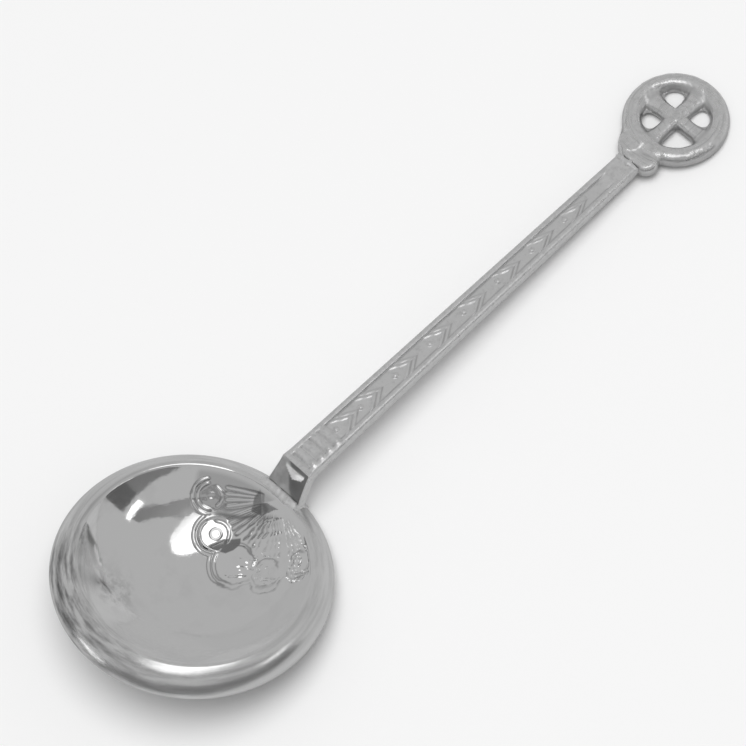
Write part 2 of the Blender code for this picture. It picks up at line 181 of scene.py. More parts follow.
class HandleSizes(PropertyGroup):
    """The leg, the bar and the relief on its top."""

    rise: angle("Rise", "Angle between the bar and the bowl's rim", 11.2)
    knee_reach: length("Knee reach", "From the bowl's axis to the knee", 19.702)
    knee_height: length("Knee height", "From the level of the lip's edge to the knee", 7.4)
    leg_steepness: angle("Leg steepness", "Slope of the leg's inner face", 63.9)
    leg_length: length("Leg length", "Along the leg's inner face", 5.234)
    foot_sink: length("Foot sink", "How far the foot runs on into the lip", 1.3)
    foot_width: length("Foot width", "Width where the leg meets the lip", 6.3)
    thickness: length("Thickness", "Thickness of the bar and the leg", 2.0)
    bend: length("Bend", "Rounding under the knee", 3.0)
    bar_length: length("Bar length", "From the knee to the finial's seam", 68.2)
    knee_width: length("Knee width", "Width of the bar at the knee", 5.25)
    end_width: length("End width", "Width of the bar at the seam", 3.9)
    edge_round: length("Edge rounding", "Rounding of the bar's long edges", 0.42)
    rail: length("Rail", "Width of the rails beside the panel", 0.85)
    panel_depth: length("Panel depth", "How far the panel is sunk", 0.3)
    panel_start: length("Panel start", "From the knee to the panel", 0.9)
    panel_end: length("Panel end", "From the knee to the end of the panel", 65.1)
    ridge_count: IntProperty(name="Ridges", description="Cross ridges by the knee", default=4)
    ridge_start: length("First ridge", "From the knee to the first ridge", 1.9)
    ridge_pitch: length("Ridge pitch", "Between two ridges", 1.6)
    ridge_half: length("Ridge half width", "Half the width of a ridge", 0.8)
    first_dot: length("First dot", "From the knee to the first dot", 8.0)
    first_step: length("First step", "From the first dot to the second", 4.9)
    dot_pitch: length("Dot pitch", "Between the other dots", 7.05)
    dot_radius: length("Dot radius", "Radius of a dot", 0.42)
    chevron_lead: length("Chevron lead", "From a dot to the tip of its chevrons", 3.9)
    chevron_length: length("Chevron length", "From a chevron's tip to its tails", 2.6)
    chevron_pair: length("Chevron pair", "Between the two lines of a chevron", 1.1)
    line_half: length("Chevron line", "Half the width of a chevron's line", 0.16)
    line_height: length("Chevron height", "How far a chevron stands up", 0.1)


class FinialSizes(PropertyGroup):
    """The pierced wheel and its bolster."""

    reach: length("Reach", "From the knee to the middle of the wheel", 79.4)
    aside: length("Aside", "How far the wheel stands to the side of the bar", 0.2)
    bolster_aside: length("Bolster aside", "How far the bolster stands to the side of the wheel", -0.7)
    ring_radius: length("Ring radius", "Outer radius of the ring", 7.95)
    ring_band: length("Ring band", "Width of the ring", 2.9)
    thickness: length("Thickness", "Thickness of the wheel", 1.8)
    crown: length("Crown", "How far the ring stands over the arms", 0.45)
    arm_width: length("Arm width", "Width of an arm", 2.7)
    boss_radius: length("Boss radius", "Radius of the rise where the arms cross", 1.4)
    fillet: length("Fillet", "Softness of the corners between the arms and the ring", 2.4)
    edge_round: length("Edge rounding", "Rounding of the casting's upper edges", 0.8)
    bolster_face: length("Bolster face", "From the knee to the bolster", 68.75)
    bolster_length: length("Bolster length", "Along the handle", 4.05)
    bolster_width: length("Bolster width", "Across the handle", 6.4)
    grain: length("Casting grain", "Finest detail that the casting keeps", 0.13)


class SolderSizes(PropertyGroup):
    """Solder at the foot and at the finial's seam."""

    toe: length("Toe", "Half the width of the bead inside the bowl", 0.68)
    heel: length("Heel", "Half the width of the bead round the back", 0.3)
    seam: length("Seam", "Half the width of the bead at the seam", 0.36)
    seam_place: length("Seam place", "From the knee to the middle of the seam", 68.48)
    lump: share("Lumps", "How uneven the solder is", 0.35)


class PlateFinish(PropertyGroup):
    """Colours and gloss of the plated metal."""

    plate: grey("Plate", "Clean plate", 0.97)
    # The tarnish colour also darkens the plate where shade and dark reflections are painted.
    tarnish_and_shade: grey("Tarnish", "Plate in recesses and stains", 0.32)
    solder: grey("Solder", "Plated solder", 0.95)
    bowl_roughness: share("Bowl roughness", "Roughness of the polished inside of the bowl", 0.06)
    lip_roughness: share("Lip roughness", "Roughness of the bowl's lip and outside", 0.24)
    cast_roughness: share("Cast roughness", "Roughness of the handle", 0.33)
    wheel_roughness: share("Wheel roughness", "Roughness of the wheel", 0.28)
    solder_roughness: share("Solder roughness", "Roughness of the solder", 0.46)


class StageSettings(PropertyGroup):
    """Floor, light and camera."""

    floor_colour: grey("Floor", "Colour of the floor", 0.92)
    dome_level: number("Dome", "Brightness of the sky over the spoon", 0.422)
    key_level: number("Key light", "Brightness of the large soft box", 0.98)
    fill_level: number("Fill light", "Brightness of the wide lamp over the floor", 3.5)
    key_height: length("Key height", "Height of the large soft box over the floor", 800)
    key_forward: length("Key forward", "How far the large soft box stands towards the viewer", 185)
    key_width: length("Key width", "Width of the large soft box", 660)
    key_depth: length("Key depth", "Depth of the large soft box", 380)
    camera_turn: angle("Camera turn", "Azimuth of the camera from the spoon", -122.8556)
    camera_height: angle("Camera height", "Elevation of the camera from the spoon", 64.9061)
    camera_roll: angle("Camera roll", "Turn of the camera about its own axis", 13.9352)
    camera_distance: length("Camera distance", "From the camera to the spoon's middle", 502.2106)
    camera_lens: number("Lens", "Focal length in millimetres", 168.9)


def settings(name):
    """The sizes or finishes of one part of the spoon."""
    return getattr(bpy.context.scene, f"spoon_{name}")


def bar_matrix():
    """The handle's own frame: the knee's top edge is its origin and X runs along the bar."""
    handle = settings("handle")
    up = -Vector(HANDLE_BACK["axis"])
    along = Vector((up.z, 0, -up.x))
    knee = Vector(HANDLE_BACK["pos_m"]) - along * (handle.bar_length / 2) + up * handle.thickness
    turn = Matrix((along, Vector((0, 1, 0)), up)).transposed()
    return Matrix.Translation(knee) @ turn.to_4x4()


def bowl_matrix():
    """The bowl's own frame: Z is its axis and the origin lies on it at the level of the lip's edge."""
    handle = settings("handle")
    back = Matrix.Translation((handle.knee_reach, 0, handle.knee_height))
    back = back @ Matrix.Rotation(-handle.rise, 4, "Y")
    return bar_matrix() @ back.inverted()


def smooth(low, high, values):
    """Nought below low, one above high and an even curve between."""
    step = np.clip((values - low) / (high - low), 0, 1)
    return step * step * (3 - 2 * step)


def line(distance, half):
    """One on a line, falling off softly to each side of it."""
    return np.exp(-((distance / half) ** 2))


def waver(first, second, seed):
    """A slow, even wander between about minus one and one."""
    total = np.sin(first * 1.7 + seed) * np.cos(second * 1.3 - seed * 2)
    total = total + 0.6 * np.sin(first * 3.1 - second * 2.3 + seed * 3)
    return total / 1.6


def arc(centre, radius, start, end, count):
    """Points (across, up) on a circle's arc, from start to end."""
    turn = np.linspace(start, end, count)
    return np.stack([centre[0] + radius * np.cos(turn), centre[1] + radius * np.sin(turn)], 1)


def placed(name, data):
    """A new object in the scene."""
    item = bpy.data.objects.new(name, data)
    bpy.context.scene.collection.objects.link(item)
    return item


def new_piece(name, points, faces, material, home, looks):
    """A smooth piece with its normals facing out and the values that its finish reads at each point."""
    mesh = bpy.data.meshes.new(name)
    mesh.from_pydata(points.tolist(), [], [list(map(int, face)) for face in faces])
    mesh.validate()
    for look, values in looks.items():
        store = mesh.attributes.new(look, "FLOAT", "POINT")
        store.data.foreach_set("value", values.astype(np.float32))
    work = bmesh.new()
    work.from_mesh(mesh)
    bmesh.ops.recalc_face_normals(work, faces=work.faces)
    work.to_mesh(mesh)
    work.free()
    mesh.transform(home)
    mesh.shade_smooth()
    mesh.set_sharp_from_angle(angle=math.radians(SHARP_EDGE))
    mesh.materials.append(material)
    return placed(name, mesh)


def settle(piece, node):
    """Puts a finished piece in the place of its solid."""
    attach(piece, "root")
    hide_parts(node)


def grid_faces(rows, columns):
    """Quads of a grid of points whose columns run right round."""
    row, column = np.meshgrid(np.arange(rows - 1), np.arange(columns), indexing="ij")
    following = (column + 1) % columns
    near = row * columns
    far = near + columns
    return np.stack([near + column, near + following, far + following, far + column], -1).reshape(-1, 4)


class Finish:
    """A plated metal put together from nodes."""

    def __init__(self, name):
        self.material = bpy.data.materials.new(name)
        self.material.use_nodes = True
        self.tree = self.material.node_tree
        self.shader = self.tree.nodes["Principled BSDF"]
        self.shader.inputs["Metallic"].default_value = 1
        self.place = self.add("ShaderNodeTexCoord").outputs["Object"]

    def add(self, kind, inputs=None, **options):
        """A node with its options set and its inputs linked or filled in."""
        made = self.tree.nodes.new(kind)
        for key, value in options.items():
            setattr(made, key, value)
        for key, value in (inputs or {}).items():
            if isinstance(value, bpy.types.NodeSocket):
                self.tree.links.new(value, made.inputs[key])
            else:
                made.inputs[key].default_value = value
        return made

    def pattern(self, vector, detail, roughness):
        inputs = {"Vector": vector, "Scale": 1.0, "Detail": detail, "Roughness": roughness}
        return self.add("ShaderNodeTexNoise", inputs).outputs["Fac"]

    def noise(self, cells, detail=3.0, roughness=0.55):
        """Noise with a number of cells to the millimetre."""
        inputs = {"Vector": self.place, "Scale": [cells / MM] * 3}
        return self.pattern(self.add("ShaderNodeMapping", inputs).outputs["Vector"], detail, roughness)

    def strokes(self, across, along, detail):
        """Noise drawn out along the strokes of polishing."""
        course = self.add("ShaderNodeCombineXYZ", {"X": across, "Y": along})
        return self.pattern(course.outputs["Vector"], detail, 0.55)

    def fit(self, value, low, high, start, end):
        """A value brought from one range to another and kept within it."""
        inputs = {"Value": value, "From Min": low, "From Max": high, "To Min": start, "To Max": end}
        return self.add("ShaderNodeMapRange", inputs).outputs["Result"]

    def calc(self, operation, first, second):
        return self.add("ShaderNodeMath", {0: first, 1: second}, operation=operation).outputs["Value"]

    def stored(self, look):
        """A value that was stored at the piece's points."""
        return self.add("ShaderNodeAttribute", attribute_name=look).outputs["Fac"]

    def bump(self, height, distance, strength, normal=None):
        inputs = {"Height": height, "Distance": distance, "Strength": strength}
        if normal is not None:
            inputs["Normal"] = normal
        return self.add("ShaderNodeBump", inputs).outputs["Normal"]

    def set(self, socket, value):
        self.tree.links.new(value, self.shader.inputs[socket])

    def colour(self, clean, amount):
        """Colours the metal, from its clean colour to the tarnish colour, which also serves for painted
        shade.
        """
        darkening = settings("finish").tarnish_and_shade
        inputs = {0: amount, 6: (*clean, 1), 7: (*darkening, 1)}
        self.set("Base Color", self.add("ShaderNodeMix", inputs, data_type="RGBA").outputs[2])


def polished_finish(name):
    """A spun and polished bowl: fine rings of polish, faint stains and soil, with painted shade and dark
    reflections along the chasing, on the palmette and on one side of the wall.
    """
    look = settings("finish")
    finish = Finish(name)
    stains = finish.noise(0.16, 4.0, 0.6)
    specks = finish.noise(1.9, 3.0, 0.6)
    shade_and_tarnish, rings, turn = (finish.stored(value) for value in ("shade_and_tarnish", "polish", "turn"))
    stain = finish.fit(stains, 0.52, 0.8, 0.0, 0.14)
    # Painted shade and dark reflections, stored at the points, darken the plate together with the stains.
    dark = finish.calc("MAXIMUM", stain, finish.calc("MULTIPLY", shade_and_tarnish, 0.75))
    streaks = finish.strokes(finish.calc("MULTIPLY", rings, 0.22), finish.calc("MULTIPLY", turn, 1.6), 4.0)
    # Soil on the worn lip, and painted shade on one side, drawn out in polishing streaks.
    soil_and_shade = finish.calc("MULTIPLY", finish.fit(streaks, 0.4, 0.66, 0.0, 1.0), finish.stored("soil_and_shade"))
    leaves = finish.fit(finish.noise(0.8, 4.0, 0.6), 0.42, 0.6, 0.0, 0.36)
    soil_and_shade = finish.calc("MAXIMUM", soil_and_shade, finish.calc("MULTIPLY", leaves, finish.stored("blotch")))
    finish.colour(look.plate, finish.calc("MAXIMUM", dark, soil_and_shade))
    rough = finish.fit(stains, 0.35, 0.75, look.bowl_roughness * 0.7, look.bowl_roughness * 1.7)
    rough = finish.calc("ADD", rough, finish.fit(specks, 0.55, 0.8, 0.0, 0.05))
    rough = finish.calc("ADD", rough, finish.calc("MULTIPLY", shade_and_tarnish, 0.1))
    satin = finish.calc("MULTIPLY", finish.stored("satin"), look.lip_roughness)
    finish.set("Roughness", finish.calc("MAXIMUM", rough, satin))
    soft = finish.bump(finish.noise(0.45, 2.0), 0.05 * MM, 0.35)
    finish.set("Normal", finish.bump(finish.strokes(rings, turn, 4.0), 0.004 * MM, 0.5, soft))
    return finish.material


def cast_finish(name, roughness, brushed=False):
    """A soft casting under plate: grain, stains, painted shade and dark reflections where they are stored,
    and, where it was brushed, strokes along its ring.
    """
    look = settings("finish")
    finish = Finish(name)
    grain = finish.noise(5.5, 3.0, 0.6)
    clouds = finish.noise(0.35, 4.0, 0.6)
    shade_and_tarnish = finish.stored("shade_and_tarnish")
    # Painted shade stored at the points darkens the plate, broken up by clouds.
    darkening = finish.calc("MULTIPLY", shade_and_tarnish, finish.fit(clouds, 0.25, 0.75, 0.35, 0.8))
    mottle = finish.fit(finish.noise(1.3, 5.0, 0.65), 0.46, 0.72, 0.0, 0.28)
    stain = finish.calc("MAXIMUM", finish.fit(clouds, 0.5, 0.85, 0.0, 0.15), mottle)
    ripple = finish.bump(finish.noise(0.9, 4.0, 0.6), 0.08 * MM, 0.7)
    if brushed:
        strokes = finish.strokes(finish.stored("polish"), finish.stored("turn"), 3.0)
        ripple = finish.bump(strokes, 0.05 * MM, 0.8, ripple)
        stain = finish.calc("MAXIMUM", stain, finish.fit(strokes, 0.5, 0.72, 0.0, 0.45))
    finish.colour(look.plate, finish.calc("MAXIMUM", darkening, stain))
    rough = finish.fit(clouds, 0.3, 0.75, roughness * 0.75, roughness * 1.35)
    finish.set("Roughness", finish.calc("ADD", rough, finish.calc("MULTIPLY", shade_and_tarnish, 0.12)))
    finish.set("Normal", finish.bump(grain, 0.02 * MM, 0.45, ripple))
    return finish.material


def solder_finish(name):
    """Lumpy solder under plate."""
    look = settings("finish")
    finish = Finish(name)
    clouds = finish.noise(1.1)
    finish.colour(look.solder, finish.fit(clouds, 0.5, 0.8, 0.0, 0.3))
    roughness = look.solder_roughness
    finish.set("Roughness", finish.fit(clouds, 0.3, 0.7, roughness * 0.7, roughness * 1.6))
    finish.set("Normal", finish.bump(finish.noise(2.6, 2.0), 0.06 * MM, 0.5))
    return finish.material


def patch(down, side, corners):
    """One inside a patch with straight sides, whose corners are places down and aside in millimetres."""
    depth = np.ones_like(down)
    for here, there in zip(corners, corners[1:] + corners[:1]):
        run, rise = there[0] - here[0], there[1] - here[1]
        off = run * (side / MM - here[1]) - rise * (down / MM - here[0])
        depth = np.minimum(depth, off / math.hypot(run, rise))
    return smooth(-0.05, 0.15, depth)


def palmette_shade(down, side, lines):
    """Painted dark reflections and shade in the deep places of the palmette and between the lines of its
    first lobe.
    """
    hollow = patch(down, side, HOLLOW_PAINTED_DARK)
    root = patch(down, side, ROOT_SHADE)
    middle = np.interp(side / MM, (1.6, 3.6, 6.1, 8.2), (3.9, 5.5, 6.5, 7.2)) * MM
    channel = line(down - middle, 0.48 * MM) * smooth(1.2 * MM, 1.9 * MM, side)
    channel = channel * smooth(8.8 * MM, 8.0 * MM, side)
    heading = np.degrees(np.arctan2(side, down))
    ground = smooth(40, 47, heading) * smooth(100, 80, heading)
    ground = ground * smooth(13.0 * MM, 12.0 * MM, np.hypot(down, side))
    ground = ground * (1 - 0.8 * smooth(0.5, 0.75, lines))
    dark = np.maximum(1.35 * hollow, 1.15 * root)
    return np.maximum(np.maximum(dark, 1.2 * channel), 0.5 * ground)


def palmette_wear(down, side):
    """How clear the palmette is, how broken its lines are, and its places as they stray where it is worn."""
    clear = 0.2 + 0.8 * smooth(-3.0 * MM, 3.5 * MM, side)
    x, y = down / MM, side / MM
    broken = 0.6 + 0.4 * waver(1.3 * x, 1.7 * y, 2.5)
    stray_down = 0.42 * waver(0.9 * x, 0.8 * y, 1.2) + 0.14 * waver(2.6 * y, 2.2 * x, 0.6)
    stray_side = 0.42 * waver(0.8 * y, 1.1 * x, 3.4) + 0.14 * waver(2.4 * x, 2.7 * y, 5.1)
    worn = (1 - clear) * MM
    return clear, broken, down + worn * stray_down, side + worn * stray_side


def lobe_rays(down, side, turn, end, half):
    """The four rays that run from the palmette's root to the collar of a lobe."""
    rays = np.zeros_like(down)
    for step in (-1.5, -0.5, 0.5, 1.5):
        lean = turn + step * math.radians(RAY_PITCH)
        off = side * math.cos(lean) - down * math.sin(lean)
        ahead = down * math.cos(lean) + side * math.sin(lean)
        rays = np.maximum(rays, line(off, half) * smooth(1.6 * MM, 3.6 * MM, ahead))
    return rays * smooth(end, end - 0.8 * MM, np.hypot(down, side))


def palmette_height(down, side):
    """Relief of the palmette and its clear lines, from places down the bowl and to the side of its root."""
    bowl = settings("bowl")
    half = bowl.line_width
    lobes = [
        (0.0, bowl.middle_reach, bowl.middle_lobe),
        (bowl.next_turn, bowl.next_reach, bowl.next_lobe),
        (-bowl.next_turn, bowl.next_reach, bowl.next_lobe),
        (bowl.side_turn, bowl.side_reach, bowl.side_lobe),
        (-bowl.side_turn, bowl.side_reach, bowl.side_lobe),
    ]
    curve = dish()[1]
    clear, broken, down, side = palmette_wear(down, side)
    height, marks, rays, swell, shown = np.zeros((5, *down.shape))
    outside = np.ones_like(down)
    for turn, eye, radius in lobes:
        along = down * math.cos(turn) + side * math.sin(turn) - eye
        across = side * math.cos(turn) - down * math.sin(turn)
        apart = np.hypot(along, across)
        nearer = apart - radius < outside
        outside = np.where(nearer, apart - radius, outside)
        shown = np.where(nearer, smooth(-0.1 * radius, 0.3 * radius, along), shown)
        body = smooth(0.95 * radius, 0.3 * radius, apart) * radius / bowl.middle_lobe
        if turn == bowl.next_turn:
            face = bowl.face_lift + FACE_SLOPES[0] * along + FACE_SLOPES[1] * across
            face = face - apart**2 / (2 * curve)
            body = face / bowl.swell * smooth(1.06 * radius, 0.94 * radius, apart)
            body = body * (1 - patch(down, side, HOLLOW_PAINTED_DARK))
            marks = np.maximum(marks, 0.5 * line(apart - 0.32 * radius, 0.8 * half))
        elif turn == bowl.side_turn:
            body = SIDE_SWELL * body
        swell = np.maximum(swell, body)
        height = np.maximum(height, 0.3 * line(apart - 0.24 * radius, half))
        height = np.maximum(height, 0.25 * broken * line(apart - 0.58 * radius, 1.4 * half))
        collar = 0.78 * radius
        cuff = smooth(-0.15 * radius, -0.5 * radius, along)
        marks = np.maximum(marks, line(apart - collar, half) * cuff)
        wide, firm, raised = CLEAR_RAYS if turn > 0 else WORN_RAYS
        drawn = firm * lobe_rays(down, side, turn, eye - collar, wide * half)
        if turn <= 0:
            drawn = drawn * broken
        rays = np.maximum(rays, drawn)
        height = np.maximum(height, raised * drawn)
    border = np.maximum(line(outside, half), line(outside - bowl.border_gap, half))
    marks = np.maximum(marks, border * shown * (clear + (1 - clear) * broken))
    uneven = 0.8 + 0.3 * waver(down / MM, side / MM, 1.0)
    ground = 0.1 * waver(1.6 * down / MM, 1.6 * side / MM, 4.0)
    ground = ground + 0.7 * (1 - clear) * waver(2.7 * down / MM, 2.2 * side / MM, 5.5)
    raised = np.maximum(height, marks) * uneven + smooth(1.2 * MM, -0.6 * MM, outside) * ground
    return bowl.line_height * raised + bowl.swell * swell, np.maximum(marks, rays) * clear


def dish():
    """Height of the middle of the dish's sphere, its inner radius and the angle of its mouth."""
    bowl = settings("bowl")
    crest_level = bowl.lip_height - bowl.crest_round
    base = bowl.depth - crest_level
    middle = (bowl.crest_radius**2 + crest_level**2 - base**2) / (2 * bowl.depth)
    return middle, middle + bowl.depth - bowl.lip_height, math.atan2(crest_level - middle, bowl.crest_radius)


def bowl_rows():
    """The bowl's section from the middle of its inside, over the lip, to the middle of its outside."""
    bowl = settings("bowl")
    middle, inner, mouth = dish()
    down = -math.pi / 2
    top, low = bowl.crest_turn, bowl.shoulder_turn
    crest = (bowl.crest_radius, bowl.lip_height - bowl.crest_round)
    spread = bowl.lip_width - bowl.crest_round * math.cos(top) - bowl.lip_edge * (1 - math.cos(low))
    slope = spread / (math.cos(low) - math.cos(top))
    reach = slope - bowl.crest_round
    centre = (crest[0] - reach * math.cos(top), crest[1] - reach * math.sin(top))
    edge_level = centre[1] + (slope - bowl.lip_edge) * math.sin(low)
    edge_radius = bowl.crest_radius + bowl.lip_width - bowl.lip_edge
    under_level = edge_level - bowl.lip_edge
    start = math.asin((under_level - middle) / (inner + bowl.wall)) - math.radians(7)

    inside_count, crest_count, slope_count, edge_count, under_count, body_count = SECTION_POINTS
    inside = arc((0, middle), inner, down, mouth, inside_count)
    rounded = arc(crest, bowl.crest_round, math.pi + mouth, top, crest_count)
    outer = arc(centre, slope, top, low, slope_count)
    edge = arc((edge_radius, edge_level), bowl.lip_edge, low, down, edge_count)
    body = arc((0, middle), inner + bowl.wall, start, down, body_count)
    corner = np.array([body[0][0] + (body[0][0] - body[1][0]) * 0.9, under_level])
    step = np.linspace(0, 1, under_count)[1:-1, None]
    under = edge[-1] * (1 - step) ** 2 + 2 * corner * step * (1 - step) + body[0] * step**2
    rows = np.concatenate([inside, rounded[1:], outer[1:], edge[1:], under, body])
    return rows, len(inside)


def palmette_places(inside):
    """Directions of points from the middle of the dish, and their places from the palmette's root."""
    bowl = settings("bowl")
    middle, inner, mouth = dish()
    aim = (inside - [0, 0, middle]) / inner
    root = np.array([math.cos(mouth), 0, math.sin(mouth)])
    down = np.array([math.sin(mouth), 0, -math.cos(mouth)])
    apart = np.arccos(np.clip(aim @ root, -1, 1)) * inner
    heading = np.arctan2(aim[..., 1], aim @ down) - bowl.palmette_lean
    return aim, apart * np.cos(heading), apart * np.sin(heading) - bowl.palmette_shift


def bowl_looks(rows, inside_rows, turns):
    """How polish, satin, soil with painted shade on one side, and stains lie over the bowl, and the largest
    tilts of its wall's shading.
    """
    travel = np.concatenate([[0], np.cumsum(np.linalg.norm(np.diff(rows, axis=0), axis=1))]) / MM
    order = np.arange(1, len(rows) - 1)[:, None]
    part = order / inside_rows
    heading = np.degrees(turns) % 360
    worn = smooth(inside_rows, inside_rows + 12, order)
    wiped, shaded, blotched = (line(heading - middle, half) for middle, half in BOWL_PLACES)
    looks = {
        "polish": travel[1:-1, None] * 6,
        "turn": np.sin(turns) * 3,
        "satin": np.maximum(worn, 0.8 * wiped * smooth(0.66, 0.88, part)),
        # On the shaded side the soil value is raised as painted shade.
        "soil_and_shade": (0.25 + 0.25 * shaded) * worn + 0.55 * shaded * smooth(0.84, 0.94, part),
        "blotch": blotched * smooth(0.4, 0.52, part) * smooth(0.86, 0.72, part),
    }
    tilts = np.radians(np.interp(heading, WALL_HEADINGS, WALL_TILTS))
    return looks, np.where(order < inside_rows + 9, tilts, math.pi)


def ease_wall(mesh, limits):
    """Turns shading normals up where they tilt past a limit, as on a wall that polishing has worn."""
    normals = np.empty(3 * len(mesh.vertices), np.float32)
    mesh.vertex_normals.foreach_get("vector", normals)
    normals = normals.reshape(-1, 3)
    tilt = np.arccos(np.clip(normals[:, 2], -1, 1))
    eased = np.where(tilt > limits, limits + 0.06 * (tilt - limits), tilt)
    flat = np.maximum(np.hypot(normals[:, 0], normals[:, 1]), 1e-6)
    normals[:, :2] *= (np.sin(eased) / flat)[:, None]
    normals[:, 2] = np.cos(eased)
    mesh.normals_split_custom_set_from_vertices(normals.tolist())


class SPOON_OT_bowl(Operator):
    """Turns the bowl and raises the palmette on its inside"""

    bl_idname = "spoon.bowl"
    bl_label = "Make Bowl"

    def execute(self, context):
        rows, inside_rows = bowl_rows()
        fan = np.radians(np.arange(-FAN_HALF, FAN_HALF, FAN_STEP))
        rest = np.linspace(fan[-1], fan[0] + 2 * math.pi, REST_POINTS)[1:-1]
        turns = np.concatenate([fan, rest])
        radius, height = rows[1:-1, 0][:, None], rows[1:-1, 1][:, None]
        points = np.stack(
            [radius * np.cos(turns), radius * np.sin(turns), np.repeat(height, len(turns), 1)], -1
        )
        poles = [[0, 0, rows[0, 1]], [0, 0, rows[-1, 1]]]

        inside = points[: inside_rows - 1]
        aim, down, side = palmette_places(inside)
        relief, lines = palmette_height(down, side)
        fade = smooth(0.0, 0.8 * MM, rows[inside_rows - 1, 1] - inside[..., 2])
        # Painted shade along the flanks of the chased lines.
        chased = smooth(0.02, 0.3, lines) * smooth(0.75, 0.35, lines)
        inside -= aim * (relief * fade)[..., None]

        shape = points.shape[:2]
        looks, tilts = bowl_looks(rows, inside_rows, turns)
        looks["shade_and_tarnish"] = np.zeros(shape)
        # The palmette's painted dark reflections join the painted shade of the chased lines.
        looks["shade_and_tarnish"][: inside_rows - 1] = np.maximum(chased, palmette_shade(down, side, lines)) * fade
        looks = {look: np.append(np.broadcast_to(values, shape), [0, 0]) for look, values in looks.items()}

        count, columns = shape[0] * shape[1], shape[1]
        faces = grid_faces(*shape).tolist()
        for column in range(columns):
            following = (column + 1) % columns
            faces.append([count, following, column])
            faces.append([count + 1, count - columns + column, count - columns + following])
        points = np.concatenate([points.reshape(-1, 3), poles])
        material = polished_finish("bowl_polish")
        piece = new_piece("bowl_polished", points, faces, material, bowl_matrix(), looks)
        ease_wall(piece.data, np.append(tilts, [math.pi, math.pi]))
        settle(piece, "bowl")
        return {"FINISHED"}


def bar_half(along):
    """Half the bar's width at a place along it."""
    handle = settings("handle")
    return (handle.knee_width + (handle.end_width - handle.knee_width) * along / handle.bar_length) / 2


def bar_relief(along, across):
    """Height of the bar's top and its painted shade, at one place along it, right across it."""
    handle = settings("handle")
    half = bar_half(along)
    side = np.abs(across)
    inner = half - handle.rail
    ends = smooth(handle.panel_start - 0.2 * MM, handle.panel_start + 0.1 * MM, along)
    ends = ends * smooth(handle.panel_end + 0.3 * MM, handle.panel_end - 2.2 * MM, along)
    sunk = smooth(inner + 0.02 * MM, inner - 0.16 * MM, side) * ends
    off_rail = (side - half + handle.rail / 2) / (handle.rail / 2)
    rail = -0.03 * MM * np.minimum(off_rail**2, 1)
    floor = -handle.panel_depth + 0.01 * MM * waver(along / MM * 1.9, across / MM * 2.7, 2.0)
    # A painted shade line along the inner edge of each rail; the sunken panel is darkened slightly.
    crease = line(side - inner + 0.2 * MM, 0.14 * MM) * ends
    height = rail * (1 - sunk) + floor * sunk - 0.04 * MM * crease
    shade_and_tarnish = np.maximum(0.12 * sunk, 0.8 * crease)

    past = np.maximum(side - inner + 0.3 * MM, 0) / (0.75 * MM)
    for step in range(handle.ridge_count):
        place = (along - handle.ridge_start - handle.ridge_pitch * step) / handle.ridge_half
        crest = np.clip(1 - place**2, 0, None) * np.clip(1 - past**2, 0, None)
        ridge = -handle.panel_depth + (handle.panel_depth + 0.04 * MM) * crest**0.85
        knob = 0.26 * MM * line(place, 0.62) * line(across + inner - 0.25 * MM, 0.5 * MM)
        shade_and_tarnish = np.where(crest > 0, np.minimum(shade_and_tarnish, 0.8 * smooth(0.4, 0.05, crest)), shade_and_tarnish)
        height = np.where(crest > 0, np.maximum(height, ridge), height) + knob

    second_dot = handle.first_dot + handle.first_step
    dots = np.arange(second_dot, handle.panel_end - handle.chevron_lead, handle.dot_pitch)
    lit = across > 0
    tails = inner - 0.15 * MM
    arms = smooth(tails + 0.05 * MM, tails - 0.1 * MM, side)
    lean = np.where(lit, 1.0, 0.8) * handle.chevron_length / tails
    for dot in (handle.first_dot, *dots):
        off_dot = np.hypot(along - dot, across) / handle.dot_radius
        dome = np.sqrt(np.clip(1 - off_dot**2, 0, None))
        height = np.maximum(height, floor + 0.26 * MM * dome)
        shade_and_tarnish = shade_and_tarnish * (1 - smooth(0.2, 0.6, dome))
        for back, strength in ((0, 0.8), (handle.chevron_pair, 1.0)):
            off = (along - dot - handle.chevron_lead + back + side * lean) / np.hypot(1, lean)
            spread = line(off, handle.line_half) * arms
            beads = 0.7 + 0.3 * np.cos(side / MM * 8.0 + back / MM * 3)
            height = height + sunk * spread * np.where(lit, beads, 1.0) * strength * handle.line_height
            shadow = np.where(lit, 0.45, 1.0) * sunk * line(off - 0.3 * MM, 0.15 * MM) * arms
            shade_and_tarnish = np.maximum(shade_and_tarnish * (1 - 0.6 * spread), shadow)
    return height, shade_and_tarnish


def leg_top(place, zones):
    """Half width, edge rounding, places across, heights and painted dark reflection of the leg's face."""
    handle = settings("handle")
    flare = place / handle.leg_length
    half = (handle.knee_width + (handle.foot_width - handle.knee_width) * flare**1.4) / 2
    flat = half - KNEE_EDGE
    across = np.interp(zones, (-3, 3), (-flat, flat))
    tops = across / flat
    bulge = 0.1 * MM * (1 - tops**2) * math.sin(math.pi * min(flare, 1))
    height = bulge + 0.02 * MM * waver(tops * 2.2 + 1, flare * 3, 5.0)
    # The face is painted dark as a dark reflection, and darker still towards one side near the knee; a patch
    # where it would shine is left clean.
    bright = np.interp(tops, (-0.85, -0.75, -0.17, 0.55, 0.7), (0.05, 0.28, 0.42, 0.2, 0.05))
    shine = smooth(bright + 0.02, bright - 0.02, flare) * smooth(0.1, 0.14, flare)
    shade_and_tarnish = 1.0 + 1.2 * smooth(0.1, -0.3, tops - 0.5 + flare)
    return half, KNEE_EDGE, across, height * smooth(0.0, 0.25, flare), shade_and_tarnish * (1 - shine)


